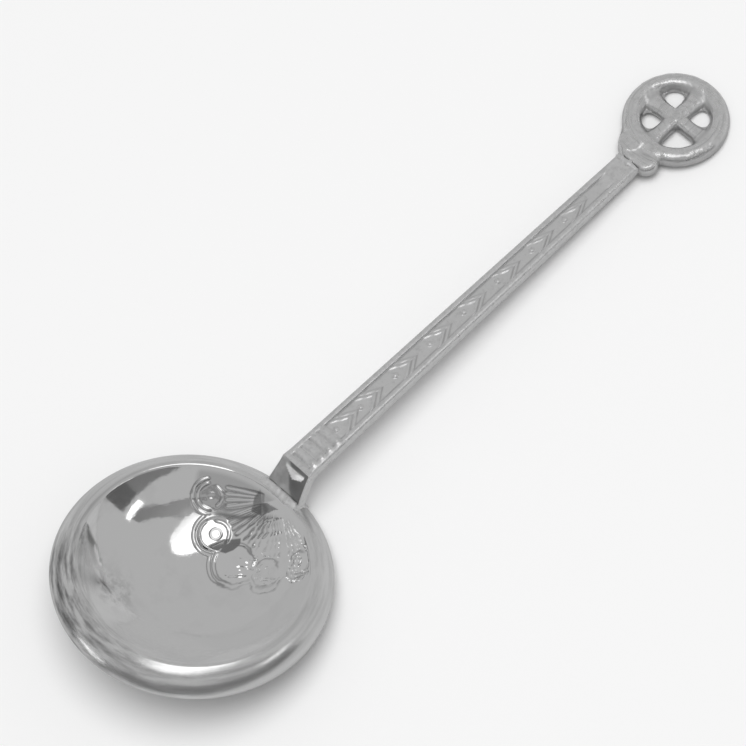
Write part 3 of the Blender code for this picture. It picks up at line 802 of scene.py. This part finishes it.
def bar_top(place, zones):
    """Half width, edge rounding, places across, heights and painted shade of the bar's top."""
    handle = settings("handle")
    half = bar_half(place)
    edge = KNEE_EDGE + (handle.edge_round - KNEE_EDGE) * smooth(0.0, 1.5 * MM, place)
    inner = half - handle.rail
    marks = (0, inner - 0.2 * MM, inner + 0.04 * MM, half - edge)
    across = np.sign(zones) * np.interp(np.abs(zones), range(len(marks)), marks)
    height, shade_and_tarnish = bar_relief(place, across)
    # A painted dark line just past the knee.
    shade_and_tarnish = np.maximum(shade_and_tarnish, smooth(0.1 * MM, 0.0, place))
    return half, edge, across, height * smooth(0.0, 0.5 * MM, place), shade_and_tarnish


def handle_section(half, edge, across, height, thick):
    """A closed section of the handle (across, up): its top, its rounded edges and its back."""
    corner = np.radians(np.linspace(0, 90, 5))
    flat, back = half - edge, half - BACK_EDGE
    right_top = np.stack([-flat - edge * np.sin(corner), height[-1] - edge + edge * np.cos(corner)], 1)[1:]
    low = BACK_EDGE * (1 - np.sin(corner)) - thick
    right_low = np.stack([-back - BACK_EDGE * np.cos(corner), low], 1)
    bottom = np.stack([np.linspace(-back, back, 7)[1:-1], np.full(5, -thick)], 1)
    left_low = right_low[::-1] * [-1, 1]
    left_top = right_top[::-1] * [-1, 1] + [0, height[0] - height[-1]]
    top = np.stack([across, height], 1)
    return np.concatenate([top, right_top, right_low, bottom, left_low, left_top])


class SPOON_OT_handle(Operator):
    """Lofts the leg and the bar and raises the relief on the bar's top"""

    bl_idname = "spoon.handle"
    bl_label = "Make Handle"

    def execute(self, context):
        handle = settings("handle")
        turn = math.pi + handle.leg_steepness - handle.rise
        down = np.array([math.cos(turn), math.sin(turn)])
        front = np.array([math.sin(turn), -math.cos(turn)])
        deep = handle.thickness + handle.bend
        tangent = deep * (front[1] - 1) / down[1]
        pivot = down * tangent - front * deep

        leg = np.arange(LEG_SECTIONS[-1], handle.leg_length / MM, LEG_STEP)
        leg = np.concatenate([LEG_SECTIONS[:-1], leg]) * MM
        leg = np.concatenate([leg, [handle.leg_length, handle.leg_length + handle.foot_sink]])[::-1]
        bar = np.arange(BAR_SECTIONS[-1], handle.bar_length / MM, BAR_STEP)
        bar = np.concatenate([BAR_SECTIONS[:-1], bar]) * MM
        bar = np.concatenate([bar, [handle.bar_length]])
        half_tops = np.concatenate([np.linspace(0, 1, 17), np.linspace(1, 3, 13)[1:]])
        zones = np.concatenate([half_tops[:0:-1], -half_tops])

        # Each section's painted shade is kept with its ring of points.
        rings, recesses = [], []
        limbs = (
            (leg, leg_top, down, front),
            (bar, bar_top, np.array([1.0, 0.0]), np.array([0.0, 1.0])),
        )
        for places, make_top, course, facing in limbs:
            for place in places:
                top = course * place
                up, thick = facing, handle.thickness
                if place < tangent:
                    spoke = np.linalg.norm(top - pivot)
                    up, thick = (top - pivot) / spoke, spoke - handle.bend
                half, edge, across, height, shade_and_tarnish = make_top(place, zones)
                section = handle_section(half, edge, across, height, thick)
                lift = section[:, 1]
                rings.append(np.stack([top[0] + up[0] * lift, section[:, 0], top[1] + up[1] * lift], 1))
                recesses.append(np.concatenate([shade_and_tarnish, np.zeros(len(section) - len(zones))]))

        points = np.concatenate(rings)
        columns = len(rings[0])
        faces = grid_faces(len(rings), columns).tolist()
        faces.append(range(columns))
        faces.append(range(len(points) - columns, len(points)))
        material = cast_finish("handle_plate", settings("finish").cast_roughness)
        looks = {"shade_and_tarnish": np.concatenate(recesses)}
        piece = new_piece("handle_cast", points, faces, material, bar_matrix(), looks)
        settle(piece, "handle")
        return {"FINISHED"}


def soft_most(first, second, soft):
    """The larger of two values, eased where they are alike."""
    near = np.clip(1 - np.abs(first - second) / soft, 0, None)
    return np.maximum(first, second) + near * near * soft / 4


def wheel_form(x, y):
    """Depth inside the casting's outline and height of its top, from places along and across the wheel."""
    wheel = settings("finial")
    band = wheel.ring_band / 2
    inner = wheel.ring_radius - wheel.ring_band
    reach = np.hypot(x, y)
    ring = band - np.abs(reach - wheel.ring_radius + band)
    across = np.minimum(np.abs(x), np.abs(y))
    near = smooth(-0.3 * MM, 0.8 * MM, -x) * smooth(-0.3 * MM, 0.8 * MM, -y)
    arms = np.minimum(wheel.arm_width / 2 - 0.3 * MM * near - across, inner + 0.8 * MM - reach)

    radius = wheel.bolster_length / 2
    middle = wheel.bolster_face - wheel.reach + radius
    span = wheel.bolster_width / 2 - radius
    off = np.hypot(x - middle, np.maximum(np.abs(y - wheel.bolster_aside) - span, 0))
    bolster = radius - off
    web = 1.7 * MM - np.hypot(x - middle - 0.9 * MM, y - 1.95 * MM)

    inside = soft_most(ring, arms, wheel.fillet * (1 - 0.5 * near))
    joined = smooth(-1.0 * MM, 2.0 * MM, y)
    inside = soft_most(inside, soft_most(bolster, web, 1.2 * MM), (0.35 + 2.2 * joined) * MM)
    slope = 1.4
    crown = -0.7 * MM * np.clip(1 - ring / band, 0, 1) ** 2 + slope * np.minimum(ring, 0)
    low = -wheel.crown - 0.3 * MM * (across / (wheel.arm_width / 2)) ** 2 + slope * np.minimum(arms, 0)
    low = low + 0.15 * MM * line(reach, wheel.boss_radius)
    knob = -0.12 * MM - 0.3 * MM * (np.minimum(off, radius) / radius) ** 4 + slope * np.minimum(bolster, 0)
    knob = soft_most(knob, slope * np.minimum(web, 0) - 0.15 * MM, 0.4 * MM)
    top = soft_most(soft_most(crown, low, 0.5 * MM), knob, (0.6 + 0.6 * joined) * MM)
    top = top + 0.05 * MM * waver(x / MM * 0.9, y / MM * 0.8, 2.0)
    top = top + 0.02 * MM * waver(x / MM * 2.3, y / MM * 2.1, 4.0)
    edge = 1 - np.clip(inside / wheel.edge_round, 0, 1)
    top = top - wheel.edge_round * (1 - np.sqrt(1 - edge**2))
    return inside, np.maximum(top, 0.45 * MM - wheel.thickness)


def relax(values, heart):
    """Moves the inner points of a grid to the middle of their neighbours."""
    middle = (values[:-2, 1:-1] + values[2:, 1:-1] + values[1:-1, :-2] + values[1:-1, 2:]) / 4
    values[1:-1, 1:-1] = np.where(heart[1:-1, 1:-1], middle, values[1:-1, 1:-1])


def wheel_grid():
    """Places over the wheel, the cells that lie in the casting and the points that these use."""
    wheel = settings("finial")
    step, tiny = wheel.grain, 0.01 * MM
    reach = wheel.ring_radius + 2 * step
    along = np.arange(wheel.bolster_face - wheel.reach - 2 * step, reach, step)
    x, y = np.meshgrid(along, np.arange(-reach, reach, step), indexing="ij")
    kept = wheel_form(x[:-1, :-1] + step / 2, y[:-1, :-1] + step / 2)[0] > 0
    uses = np.zeros(x.shape, int)
    for row in (slice(0, -1), slice(1, None)):
        for column in (slice(0, -1), slice(1, None)):
            uses[row, column] += kept
    rim = (uses > 0) & (uses < 4)
    for _ in range(SETTLING_ROUNDS):
        depth = wheel_form(x, y)[0]
        rise_x = (wheel_form(x + tiny, y)[0] - depth) / tiny
        rise_y = (wheel_form(x, y + tiny)[0] - depth) / tiny
        pull = depth / np.maximum(rise_x**2 + rise_y**2, 0.2)
        x = np.where(rim, x - pull * rise_x, x)
        y = np.where(rim, y - pull * rise_y, y)
        relax(x, uses == 4)
        relax(y, uses == 4)
    return x, y, kept, uses > 0


class SPOON_OT_finial(Operator):
    """Casts the pierced wheel and its bolster in one soft piece"""

    bl_idname = "spoon.finial"
    bl_label = "Make Finial"

    def execute(self, context):
        wheel = settings("finial")
        x, y, kept, used = wheel_grid()
        depth, top = wheel_form(x, y)
        base = -wheel.thickness + 0.15 * MM * np.clip(1 - depth / (0.3 * MM), 0, 1) ** 2
        upper = np.stack([x[used], y[used], top[used]], 1)
        lower = np.stack([x[used], y[used], base[used]], 1)
        count = len(upper)
        place = np.full(x.shape, -1)
        place[used] = np.arange(count)
        rows, columns = np.nonzero(kept)
        quads = np.stack([place[rows + a, columns + b] for a, b in ((0, 0), (1, 0), (1, 1), (0, 1))], 1)

        edges = np.concatenate([quads[:, [k, (k + 1) % 4]] for k in range(4)]).tolist()
        known = set(map(tuple, edges))
        walls = [(a, b) for a, b in edges if (b, a) not in known]
        rim = np.unique(walls)
        order = np.zeros(count, int)
        order[rim] = np.arange(len(rim))
        points = [upper, lower]
        levels = [np.arange(count)]
        for index in range(1, WALL_ROWS):
            part = index / WALL_ROWS
            levels.append(2 * count + (index - 1) * len(rim) + order)
            points.append(upper[rim] * (1 - part) + lower[rim] * part)
        levels.append(levels[0] + count)
        faces = quads.tolist() + (quads[:, ::-1] + count).tolist()
        for a, b in walls:
            for here, below in zip(levels, levels[1:]):
                faces.append([here[b], here[a], below[a], below[b]])
        points = np.concatenate(points)

        reach = np.hypot(points[:, 0], points[:, 1])
        top_side = smooth(-1.2 * MM, -0.5 * MM, points[:, 2])
        # Painted shade along the ring's inner edge on top; the lower walls and underside are darker.
        seam = 0.5 * line(reach - wheel.ring_radius + wheel.ring_band, 0.5 * MM) * top_side
        looks = {
            "shade_and_tarnish": np.maximum(seam, 0.75 * (1 - top_side)),
            "polish": reach / MM * 2.5,
            "turn": np.sin(np.arctan2(points[:, 1], points[:, 0])) * 2.5,
        }
        home = bar_matrix() @ Matrix.Translation((wheel.reach, wheel.aside, 0))
        material = cast_finish("wheel_plate", settings("finish").wheel_roughness, True)
        piece = new_piece("finial_cast", points, faces, material, home, looks)
        settle(piece, "finial")
        return {"FINISHED"}


def bead(name, path, widths, heights, ups, material, home):
    """A closed bead of solder along a path, with a half width and a half height at each place."""
    ahead = np.roll(path, -1, 0) - np.roll(path, 1, 0)
    ahead /= np.linalg.norm(ahead, axis=1, keepdims=True)
    beside = np.cross(ahead, ups)
    beside /= np.linalg.norm(beside, axis=1, keepdims=True)
    over = np.cross(beside, ahead) * heights[:, None]
    beside = beside * widths[:, None]
    turns = np.linspace(0, 2 * math.pi, BEAD_SIDES, endpoint=False)
    points = np.stack([path + beside * math.cos(turn) + over * math.sin(turn) for turn in turns], 1)
    faces = grid_faces(len(path) + 1, BEAD_SIDES) % (len(path) * BEAD_SIDES)
    return new_piece(name, points.reshape(-1, 3), faces, material, home, {})


def round_trip(corners, count):
    """Evenly spaced points round a closed path of straight sides, with its corners eased."""
    corners = np.asarray(corners, float)
    sides = np.linalg.norm(np.roll(corners, -1, 0) - corners, axis=1)
    marks = np.concatenate([[0], np.cumsum(sides)])
    loop = np.concatenate([corners, corners[:1]])
    places = np.linspace(0, marks[-1], count, endpoint=False)
    path = np.stack([np.interp(places, marks, loop[:, axis]) for axis in range(corners.shape[1])], 1)
    for _ in range(4):
        path = (np.roll(path, 1, 0) + 2 * path + np.roll(path, -1, 0)) / 4
    return path


def foot_bead():
    """The bead round the foot, wide on its toe inside the bowl and narrow on its heel."""
    handle, solder = settings("handle"), settings("solder")
    rows, inside_rows = bowl_rows()
    lip = rows[inside_rows + 4 : np.argmax(rows[:, 0])]
    reach = handle.knee_reach - handle.leg_length * math.cos(handle.leg_steepness)
    half = handle.foot_width / 2 - 0.1 * MM
    toe = reach - 0.45 * MM
    heel = reach + handle.thickness / math.sin(handle.leg_steepness) + 0.1 * MM
    path = round_trip([(toe, half), (toe, -half), (heel, -half), (heel, half)], FOOT_POINTS)
    steps = np.arange(len(path))
    inward = smooth(reach + 0.9 * MM, reach, path[:, 0])
    widths = solder.heel + (solder.toe - solder.heel) * inward
    widths = widths * (1 + solder.lump * 0.25 * waver(steps * 0.31, steps * 0.17, 3.0))
    widths = widths * (1 + 0.02 * inward * np.sin(steps * 0.74))
    height = np.interp(np.hypot(path[:, 0], path[:, 1]), lip[:, 0], lip[:, 1])
    height = height + 0.02 * MM + inward * (0.12 + 0.015 * np.sin(steps * 0.67)) * MM
    path = np.stack([path[:, 0], path[:, 1], height], 1)
    ups = np.stack([0.25 - 0.61 * inward, -0.29 * inward, 0.97 - 0.08 * inward], 1)
    heights = widths * (0.55 - 0.25 * inward)
    material = solder_finish("foot_solder_plate")
    return bead("foot_bead", path, widths, heights, ups, material, bowl_matrix())


def seam_bead():
    """The thin bead round the finial's seam, with two drops on its top and next to nothing below."""
    handle, solder = settings("handle"), settings("solder")
    side = handle.end_width / 2 - 0.1 * MM
    top, low = -0.1 * MM, 0.1 * MM - handle.thickness
    path = round_trip([(-side, top), (side, top), (side, low), (-side, low)], SEAM_POINTS)
    across, up = path.T
    steps = np.arange(len(path))
    drops = line(across - 0.7 * side, 0.3 * MM) + line(across + 0.15 * side, 0.3 * MM)
    widths = solder.seam * (1 + solder.lump * 0.4 * waver(steps * 0.25, steps * 0.11, 1.5))
    widths = widths * (1 + 0.9 * drops * smooth(-0.6 * MM, -0.2 * MM, up))
    widths = widths * (1 - 0.8 * smooth(low + 0.6 * MM, low + 0.1 * MM, up))
    ups = np.stack([np.zeros(len(path)), across / side, (up - low / 2) / (-low / 2)], 1)
    wander = 0.06 * MM * waver(steps * 0.2, steps * 0.11, 6.0)
    path = np.stack([solder.seam_place + wander, across, up], 1)
    material = solder_finish("seam_solder_plate")
    return bead("seam_bead", path, widths, 0.55 * widths, ups, material, bar_matrix())


class SPOON_OT_solder(Operator):
    """Runs solder round the foot of the leg and round the finial's seam"""

    bl_idname = "spoon.solder"
    bl_label = "Make Solder"

    def execute(self, context):
        settle(foot_bead(), "foot_solder")
        settle(seam_bead(), "finial_solder")
        return {"FINISHED"}


def overhead_lamp(name, wide, deep, level, place):
    """A round soft lamp that hangs level over the spoon."""
    lamp = bpy.data.lights.new(name, "AREA")
    lamp.shape = "ELLIPSE"
    lamp.size = wide
    lamp.size_y = deep
    lamp.energy = level * math.pi * (math.pi / 4 * wide * deep)
    box = placed(name, lamp)
    box.location = place
    box.visible_camera = False
    return box


def fade_lamp(lamp):
    """Dims a lamp towards one of its long sides, as a soft box does that hangs at a slant."""
    lamp.use_nodes = True
    tree = lamp.node_tree
    spot = tree.nodes.new("ShaderNodeNewGeometry")
    split = tree.nodes.new("ShaderNodeSeparateXYZ")
    fade = tree.nodes.new("ShaderNodeMapRange")
    fade.inputs["From Max"].default_value = 0.5
    fade.inputs["To Min"].default_value = 0.3
    tree.links.new(spot.outputs["Parametric"], split.inputs["Vector"])
    tree.links.new(split.outputs["Y"], fade.inputs["Value"])
    tree.links.new(fade.outputs["Result"], tree.nodes["Emission"].inputs["Strength"])


def matt_finish(name, colour, socket, value):
    """A plain matt finish with one more socket set."""
    material = bpy.data.materials.new(name)
    material.use_nodes = True
    shader = material.node_tree.nodes["Principled BSDF"]
    shader.inputs["Base Color"].default_value = (*colour, 1)
    shader.inputs["Roughness"].default_value = 0.9
    shader.inputs[socket].default_value = value
    return material


def mirrored_card(name, points, faces, tone, glow=0.0):
    """A plain card that only the metal sees, grey or glowing."""
    mesh = bpy.data.meshes.new(name)
    mesh.from_pydata(points, [], faces)
    mesh.materials.append(matt_finish(name, (tone, tone, tone), "Emission Strength", glow))
    card = placed(name, mesh)
    card.visible_camera = False
    card.visible_diffuse = False
    card.visible_shadow = False


def curved_screen(name, start, end, lows, tops, tone, reach=SCREEN_REACH, glow=0.0):
    """A card bent round the spoon, between two azimuths and two rows of elevations in degrees."""
    turns = np.radians(np.linspace(start, end, SCREEN_POINTS))
    places = np.linspace(0, 1, SCREEN_POINTS)
    edges = [np.interp(places, np.linspace(0, 1, len(row)), row) for row in (lows, tops)]
    points = [
        (reach * math.cos(turn), reach * math.sin(turn), reach * math.tan(math.radians(lift)))
        for turn, *lifts in zip(turns, *edges)
        for lift in lifts
    ]
    faces = [(2 * i, 2 * i + 2, 2 * i + 3, 2 * i + 1) for i in range(SCREEN_POINTS - 1)]
    mirrored_card(name, points, faces, tone, glow)


def set_floor(stage):
    """A plain pale floor, a hair under the spoon."""
    work = bmesh.new()
    bmesh.ops.create_circle(work, cap_ends=True, segments=96, radius=FLOOR_RADIUS)
    mesh = bpy.data.meshes.new("pale_floor")
    work.to_mesh(mesh)
    work.free()
    mesh.materials.append(matt_finish("pale_floor", stage.floor_colour, "Specular IOR Level", 0.0))
    floor = placed("pale_floor", mesh)
    floor.location.z = -0.05 * MM


def set_light(stage):
    """A grey dome, a soft box, a lamp for the floor, and the screens and cards that the metal mirrors."""
    world = bpy.data.worlds.new("grey_dome")
    world.use_nodes = True
    bpy.context.scene.world = world
    sky = world.node_tree.nodes["Background"]
    sky.inputs["Color"].default_value = (1, 1, 1, 1)
    sky.inputs["Strength"].default_value = stage.dome_level

    place = (0.02, -stage.key_forward, stage.key_height)
    key = overhead_lamp("key_box", stage.key_width, stage.key_depth, stage.key_level, place)
    fade_lamp(key.data)
    fill = overhead_lamp("floor_fill", FILL_SIZE, FILL_SIZE, stage.fill_level, (0, 0, FILL_HEIGHT))
    fill.visible_glossy = False
    turns = np.linspace(0, math.tau, 64)[:-1]
    mat = [(MAT_RADIUS * math.cos(turn), MAT_RADIUS * math.sin(turn), -0.02 * MM) for turn in turns]
    mirrored_card("grey_mat", mat, [range(len(mat))], 0.48)
    curved_screen("low_screen", 100, 282, (2, 2), (10, 14, 22, 26, 28, 30, 26), 0.2)
    curved_screen("high_screen", 150, 302, (30, 54, 55, 55, 48, 25), (52, 66, 66, 66, 64, 38), 0.2)
    curved_screen("front_screen", 281, 300, (3, 0), (26, 22), 0.12)
    curved_screen("white_card", 285, 304, (29, 25), (34, 29), 0.9, CARD_REACH, CARD_GLOW)
    curved_screen("low_card", 153, 170, (8.4, 8.4), (16, 16), 0.9, CARD_REACH, CARD_GLOW)


def set_camera(stage):
    """A camera at the photo's angle, turned about its own axis."""
    level = math.cos(stage.camera_height)
    aim = Vector(
        (
            math.cos(stage.camera_turn) * level,
            math.sin(stage.camera_turn) * level,
            math.sin(stage.camera_height),
        )
    )
    across = (-aim).cross(Vector((0, 0, 1))).normalized()
    up = across.cross(-aim)
    upright = up * math.cos(stage.camera_roll) + across * math.sin(stage.camera_roll)
    turn = Matrix(((-aim).cross(upright), upright, aim)).transposed()
    lens = bpy.data.cameras.new("view")
    lens.lens = stage.camera_lens
    lens.sensor_width = 36
    lens.clip_start = 0.01
    camera = placed("view", lens)
    camera.matrix_world = Matrix.Translation(VIEW_MIDDLE + aim * stage.camera_distance) @ turn.to_4x4()
    bpy.context.scene.camera = camera


class SPOON_OT_stage(Operator):
    """Sets the floor, the light and the camera"""

    bl_idname = "spoon.stage"
    bl_label = "Make Stage"

    def execute(self, context):
        stage = settings("stage")
        context.scene.view_settings.view_transform = "Standard"
        set_floor(stage)
        set_light(stage)
        set_camera(stage)
        return {"FINISHED"}


PIECES = (SPOON_OT_bowl, SPOON_OT_handle, SPOON_OT_finial, SPOON_OT_solder, SPOON_OT_stage)
SIZES = {
    "bowl": BowlSizes,
    "handle": HandleSizes,
    "finial": FinialSizes,
    "solder": SolderSizes,
    "finish": PlateFinish,
    "stage": StageSettings,
}


class SPOON_PT_panel(Panel):
    """The spoon's pieces and sizes"""

    bl_idname = "SPOON_PT_panel"
    bl_label = "Incense Spoon"
    bl_space_type = "VIEW_3D"
    bl_region_type = "UI"
    bl_category = "Spoon"

    def draw(self, context):
        for piece in PIECES:
            self.layout.operator(piece.bl_idname)
        for name in SIZES:
            box = self.layout.box()
            box.label(text=name.capitalize())
            group = settings(name)
            for key in group.__annotations__:
                box.prop(group, key)


CLASSES = (*SIZES.values(), *PIECES, SPOON_PT_panel)


def register():
    for kind in CLASSES:
        bpy.utils.register_class(kind)
    for name, group in SIZES.items():
        setattr(bpy.types.Scene, f"spoon_{name}", PointerProperty(type=group))


def unregister():
    for name in SIZES:
        delattr(bpy.types.Scene, f"spoon_{name}")
    for kind in reversed(CLASSES):
        bpy.utils.unregister_class(kind)


def main():
    register()
    bpy.ops.spoon.bowl()
    bpy.ops.spoon.handle()
    bpy.ops.spoon.finial()
    bpy.ops.spoon.solder()
    bpy.ops.spoon.stage()


if __name__ == "__main__":
    main()
